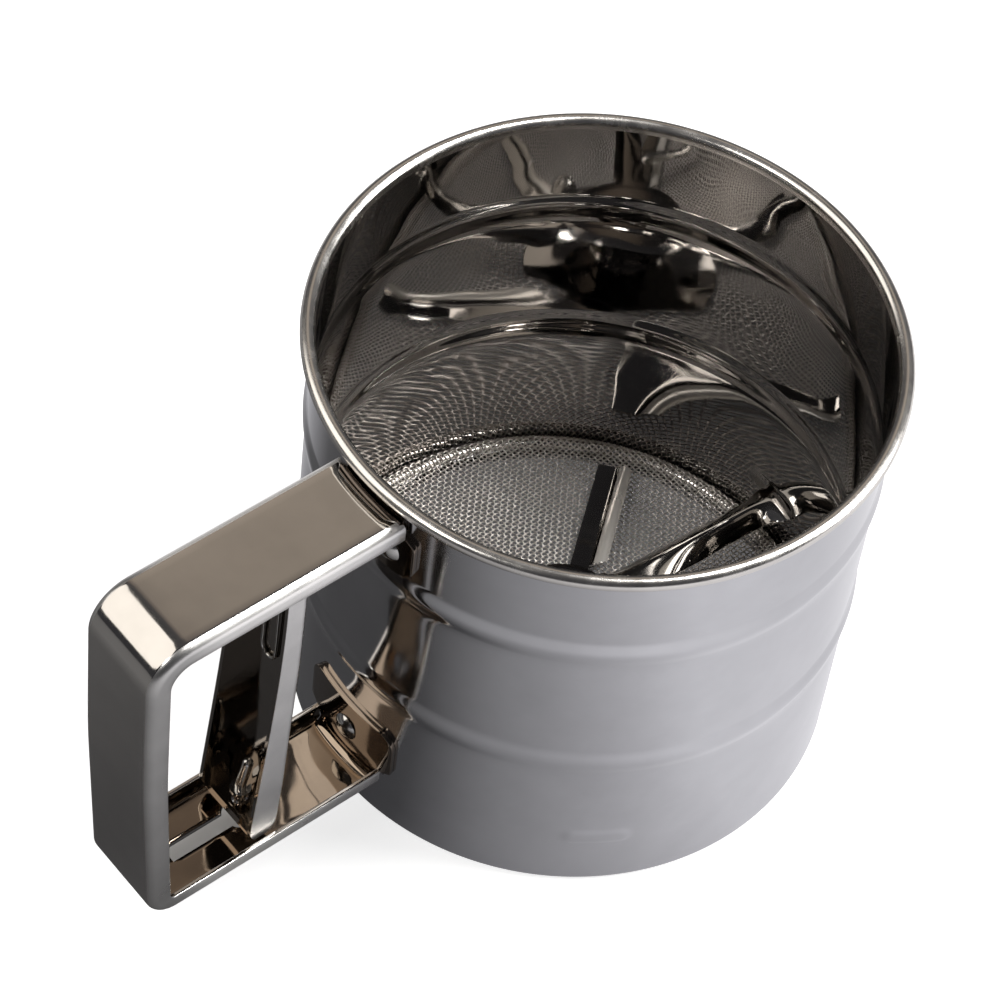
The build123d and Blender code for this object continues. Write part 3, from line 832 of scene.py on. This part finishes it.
# Both tabs take the darkest copy, painted shade; the bend and the top end of the lower tab take the tan inner copy,
# painted shade and painted warm reflection.
tab_u = sheet_piece("tab_upper", tab_rows(84.05, 70.7, -1), ST, bevel=0.16, mat=STRAP_DARK)
tab_l = sheet_piece("tab_lower", tab_rows(10.75, 25.0, 1), ST, bevel=0.16, mat=STRAP_DARK)
tab_l.data.materials.append(STRAP_IN)
for p in tab_l.data.polygons:
    if p.center.z < 0.0135 or p.center.z > 0.0246:
        p.material_index = 1


def tool_mesh(name, build):
    bm_ = bmesh.new()
    build(bm_)
    me_ = bpy.data.meshes.new(name)
    bm_.to_mesh(me_)
    bm_.free()
    o_ = bpy.data.objects.new(name, me_)
    bpy.context.collection.objects.link(o_)
    return o_


slot_tool = tool_mesh("slot_tool", lambda bm_: bmesh.ops.create_cube(bm_, size=1.0, matrix=Matrix.Translation((0.080, 0, 0.011)) @ Matrix.Diagonal((0.0152, 0.0032, 0.006, 1))))
key_tool = tool_mesh("key_tool", lambda bm_: bmesh.ops.create_cone(bm_, cap_ends=True, segments=40, radius1=0.0032, radius2=0.0032, depth=0.006, matrix=Matrix.Translation((0.0724, 0, 0.011))))
cut(channel, [slot_tool, key_tool])
strap = join("handle_strip", [channel, tab_u, tab_l])
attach(strap, "frame")
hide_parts("handle_strap")

# ---------------------------------------------------------------------------
# return spring: one wire, leg - coil - bight - coil - leg
# ---------------------------------------------------------------------------
PX, PZ = 69.2, 81.9
SR = 1.3
pts = [(PX + 10.0, 3.95, PZ + SR), (PX + 6.0, 3.95, PZ + SR), (PX + 2.0, 3.95, PZ + SR)]
turns = 3.25
N = 64
for k in range(N + 1):
    w = math.radians(90) + 2 * math.pi * turns * k / N
    pts.append((PX + SR * math.cos(w), 3.95 - 2.2 * k / N, PZ + SR * math.sin(w)))
pts += [(67.95, 1.75, 78.0), (68.1, 1.75, 70.0), (68.3, 1.75, 60.0), (68.42, 1.75, 57.0)]
for k in range(9):
    w = math.pi * k / 8
    pts.append((68.45, 1.75 * math.cos(w), 56.3 - 1.7 * math.sin(w)))
pts += [(68.42, -1.75, 57.0), (68.3, -1.75, 60.0), (68.1, -1.75, 70.0), (67.95, -1.75, 78.0)]
for k in range(N + 1):
    w = math.radians(90) + 2 * math.pi * turns * (N - k) / N
    pts.append((PX + SR * math.cos(w), -1.75 - 2.2 * k / N, PZ + SR * math.sin(w)))
pts += [(PX + 2.0, -3.95, PZ + SR), (PX + 6.0, -3.95, PZ + SR), (PX + 10.0, -3.95, PZ + SR)]
verts, faces = [], []
tube_path(verts, faces, pts, 0.34, n=10)
spring = make("spring_wound", verts, faces, sharp=60)
spring.data.materials.append(SPRING)
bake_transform(spring)
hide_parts("return_spring")

# ---------------------------------------------------------------------------
# stage, lights, world
# ---------------------------------------------------------------------------
def ground(name, z, mat, holes=()):
    """Flat ground piece, 6 m square by default; holes are closed outlines in millimetres."""
    bm_ = bmesh.new()
    rings = [[(-3000.0, -3000.0), (3000.0, -3000.0), (3000.0, 3000.0), (-3000.0, 3000.0)]] + [list(h) for h in holes]
    edges_ = []
    for ring in rings:
        vs = [bm_.verts.new((x * MM, y * MM, z * MM)) for x, y in ring]
        edges_ += [bm_.edges.new((vs[i], vs[(i + 1) % len(vs)])) for i in range(len(vs))]
    bmesh.ops.triangle_fill(bm_, use_beauty=True, use_dissolve=False, edges=edges_)
    for f in bm_.faces:
        if f.normal.z < 0:
            f.normal_flip()
    me_ = bpy.data.meshes.new(name)
    bm_.to_mesh(me_)
    bm_.free()
    me_.materials.append(mat)
    o_ = bpy.data.objects.new(name, me_)
    bpy.context.collection.objects.link(o_)
    return o_


def floor_mat(name, emit, color):
    m = bpy.data.materials.new(name)
    m.use_nodes = True
    b_ = m.node_tree.nodes["Principled BSDF"]
    b_.inputs["Base Color"].default_value = (*color, 1)
    b_.inputs["Roughness"].default_value = 0.8
    b_.inputs["Specular IOR Level"].default_value = 0.0
    b_.inputs["Emission Color"].default_value = (1, 1, 1, 1)
    b_.inputs["Emission Strength"].default_value = emit
    return m


under_cup = [(47.0 * math.cos(2 * math.pi * k / 96), 47.0 * math.sin(2 * math.pi * k / 96)) for k in range(96)]
pm = floor_mat("pale_floor", 0.76, (0.60, 0.60, 0.60))
pt = pm.node_tree
# A soft dark spot under the lower arm of the handle is painted into the floor's glow: painted shadow.
ptc = nd(pt, "ShaderNodeTexCoord", -1100, 0)
pmap = nd(pt, "ShaderNodeMapping", -900, 0)
pmap.inputs["Scale"].default_value = (1 / 0.0275, 1 / 0.0096, 1.0)
pmap.inputs["Location"].default_value = (-0.0665 / 0.0275, 0.0064 / 0.0096, 0.0)
pt.links.new(ptc.outputs["Object"], pmap.inputs["Vector"])
psp = nd(pt, "ShaderNodeTexGradient", -700, 0)
psp.gradient_type = "SPHERICAL"
pt.links.new(pmap.outputs["Vector"], psp.inputs["Vector"])
prm = nd(pt, "ShaderNodeValToRGB", -500, 0)
prm.color_ramp.interpolation = "EASE"
prm.color_ramp.elements[0].position = 0.0
prm.color_ramp.elements[0].color = (1, 1, 1, 1)
prm.color_ramp.elements[1].position = 0.36
prm.color_ramp.elements[1].color = (0.02, 0.02, 0.02, 1)
pt.links.new(psp.outputs["Fac"], prm.inputs["Fac"])
pt.links.new(prm.outputs["Color"], pt.nodes["Principled BSDF"].inputs["Emission Color"])
pale = ground("floor", -0.3, pm, [under_cup])
pale.visible_diffuse = False
pale.visible_glossy = False
pale.visible_transmission = False
pale.visible_shadow = False

gm = floor_mat("grey_table", 0.90, (0.03, 0.03, 0.03))
gt = gm.node_tree
gb = gt.nodes["Principled BSDF"]
gtc = nd(gt, "ShaderNodeTexCoord", -1300, 0)
# bearing round the cup (0..1) plus a little with distance; the glow follows it: painted shade where the cup and handle
# would shade the ground, painted light on the lit side
rad = nd(gt, "ShaderNodeTexGradient", -900, 100)
rad.gradient_type = "RADIAL"
gt.links.new(gtc.outputs["Object"], rad.inputs["Vector"])
ln = nd(gt, "ShaderNodeVectorMath", -1100, -150)
ln.operation = "LENGTH"
gt.links.new(gtc.outputs["Object"], ln.inputs[0])
near = nd(gt, "ShaderNodeMath", -900, -150)
near.operation = "MINIMUM"
near.inputs[1].default_value = 0.16
gt.links.new(ln.outputs["Value"], near.inputs[0])
sh = nd(gt, "ShaderNodeMath", -700, -150)
sh.operation = "MULTIPLY_ADD"
sh.inputs[1].default_value = 0.56
sh.inputs[2].default_value = -0.045
gt.links.new(near.outputs[0], sh.inputs[0])
tt = nd(gt, "ShaderNodeMath", -500, 0)
tt.operation = "ADD"
gt.links.new(rad.outputs["Fac"], tt.inputs[0])
gt.links.new(sh.outputs[0], tt.inputs[1])
gc = nd(gt, "ShaderNodeValToRGB", -300, 0)
gt.links.new(tt.outputs[0], gc.inputs["Fac"])
ce = gc.color_ramp.elements
ce[0].position = 0.0
ce[0].color = (0.95, 0.94, 0.97, 1)
ce[1].position = 1.0
ce[1].color = (0.95, 0.94, 0.97, 1)
for pos_, val_ in ((0.05, 0.95), (0.13, 0.60), (0.26, 0.55), (0.31, 0.32), (0.36, 0.09), (0.40, 0.065), (0.49, 0.062), (0.518, 0.075),
                   (0.545, 0.14), (0.585, 0.27), (0.62, 0.37), (0.67, 0.53), (0.695, 0.63), (0.715, 0.72), (0.745, 0.84),
                   (0.80, 0.87), (0.87, 0.86)):
    k_ = ce.new(pos_)
    k_.color = (val_, val_ * 0.99, val_ * 1.035, 1)
far_ = nd(gt, "ShaderNodeMapRange", -500, -300)
far_.inputs["From Min"].default_value = 0.11
far_.inputs["From Max"].default_value = 0.26
far_.inputs["To Min"].default_value = 0.0
far_.inputs["To Max"].default_value = 0.12
gt.links.new(ln.outputs["Value"], far_.inputs["Value"])
lift = nd(gt, "ShaderNodeVectorMath", -50, 0)
lift.operation = "ADD"
gt.links.new(gc.outputs["Color"], lift.inputs[0])
gt.links.new(far_.outputs["Result"], lift.inputs[1])
# painted shade below the cup
und = nd(gt, "ShaderNodeMapRange", -200, -400)
und.inputs["From Min"].default_value = 0.0470
und.inputs["From Max"].default_value = 0.0488
und.inputs["To Min"].default_value = 0.05
und.inputs["To Max"].default_value = 1.0
gt.links.new(ln.outputs["Value"], und.inputs["Value"])
dk = nd(gt, "ShaderNodeVectorMath", 100, 0)
dk.operation = "SCALE"
gt.links.new(lift.outputs["Vector"], dk.inputs[0])
gt.links.new(und.outputs["Result"], dk.inputs["Scale"])
# a faint painted glow put back below the cup
un2 = nd(gt, "ShaderNodeMapRange", -200, -600)
un2.inputs["From Min"].default_value = 0.0470
un2.inputs["From Max"].default_value = 0.0488
un2.inputs["To Min"].default_value = 0.08
un2.inputs["To Max"].default_value = 0.0
gt.links.new(ln.outputs["Value"], un2.inputs["Value"])
ad2 = nd(gt, "ShaderNodeVectorMath", 250, 0)
ad2.operation = "ADD"
gt.links.new(dk.outputs["Vector"], ad2.inputs[0])
gt.links.new(un2.outputs["Result"], ad2.inputs[1])
gt.links.new(ad2.outputs["Vector"], gb.inputs["Emission Color"])
table = ground("table", -0.4, gm)


def area(name, loc, target, size, power, color=(1, 1, 1), size_y=None):
    d = bpy.data.lights.new(name, "AREA")
    d.shape = "RECTANGLE"
    d.size = size
    d.size_y = size_y or size
    d.energy = power
    d.color = color
    ob = bpy.data.objects.new(name, d)
    bpy.context.collection.objects.link(ob)
    ob.location = loc
    dr = (Vector(target) - Vector(loc)).normalized()
    ob.rotation_euler = dr.to_track_quat("-Z", "Y").to_euler()
    return ob


def cam_dir(az, el, dist):
    """Position by azimuth from the picture's right (90 = away from the viewer) and elevation."""
    a = math.radians(az + 133.0)
    e = math.radians(el)
    return (dist * math.cos(e) * math.cos(a), dist * math.cos(e) * math.sin(a), dist * math.sin(e))


MID = (0, 0, 0.05)
area("key_right", cam_dir(8, 32, 1.1), MID, 0.50, 14, (1.0, 0.99, 0.98), 0.85)
area("top_soft", cam_dir(18, 67, 1.3), MID, 0.40, 14, (1.0, 0.985, 0.965), 0.40)
area("left_soft", cam_dir(182, 41, 1.1), (0.08, 0, 0.06), 0.95, 4.9, (1.0, 0.95, 0.88), 1.0)
area("front_left_spot", cam_dir(-140, 47, 1.2), MID, 0.26, 3.0, (1.0, 0.985, 0.96), 0.30)

world = bpy.data.worlds.new("studio")
bpy.context.scene.world = world
world.use_nodes = True
wt = world.node_tree
wt.nodes.clear()
wo = nd(wt, "ShaderNodeOutputWorld", 600, 0)
bg = nd(wt, "ShaderNodeBackground", 400, 0)
wt.links.new(bg.outputs[0], wo.inputs[0])
wtc = nd(wt, "ShaderNodeTexCoord", -600, 0)
wd = nd(wt, "ShaderNodeVectorMath", -400, 0)
wd.operation = "DOT_PRODUCT"
wd.inputs[1].default_value = (-0.4328, -0.5746, 0.6947)
wt.links.new(wtc.outputs["Generated"], wd.inputs[0])
wr = nd(wt, "ShaderNodeValToRGB", -150, 0)
wt.links.new(wd.outputs["Value"], wr.inputs["Fac"])
cr = wr.color_ramp
cr.elements[0].position = 0.0
cr.elements[0].color = (0.045, 0.045, 0.05, 1)
cr.elements[1].position = 1.0
cr.elements[1].color = (0.50, 0.43, 0.37, 1)
for pos_, c_ in ((0.60, (0.06, 0.059, 0.062)), (0.93, (0.08, 0.078, 0.080)), (0.953, (0.10, 0.095, 0.095)),
                 (0.970, (0.24, 0.205, 0.18)), (0.9825, (0.345, 0.30, 0.255)), (0.992, (0.42, 0.365, 0.31))):
    e = cr.elements.new(pos_)
    e.color = (*c_, 1)
wt.links.new(wr.outputs["Color"], bg.inputs["Color"])
bg.inputs["Strength"].default_value = 1.0

bpy.context.scene.view_settings.view_transform = "Standard"
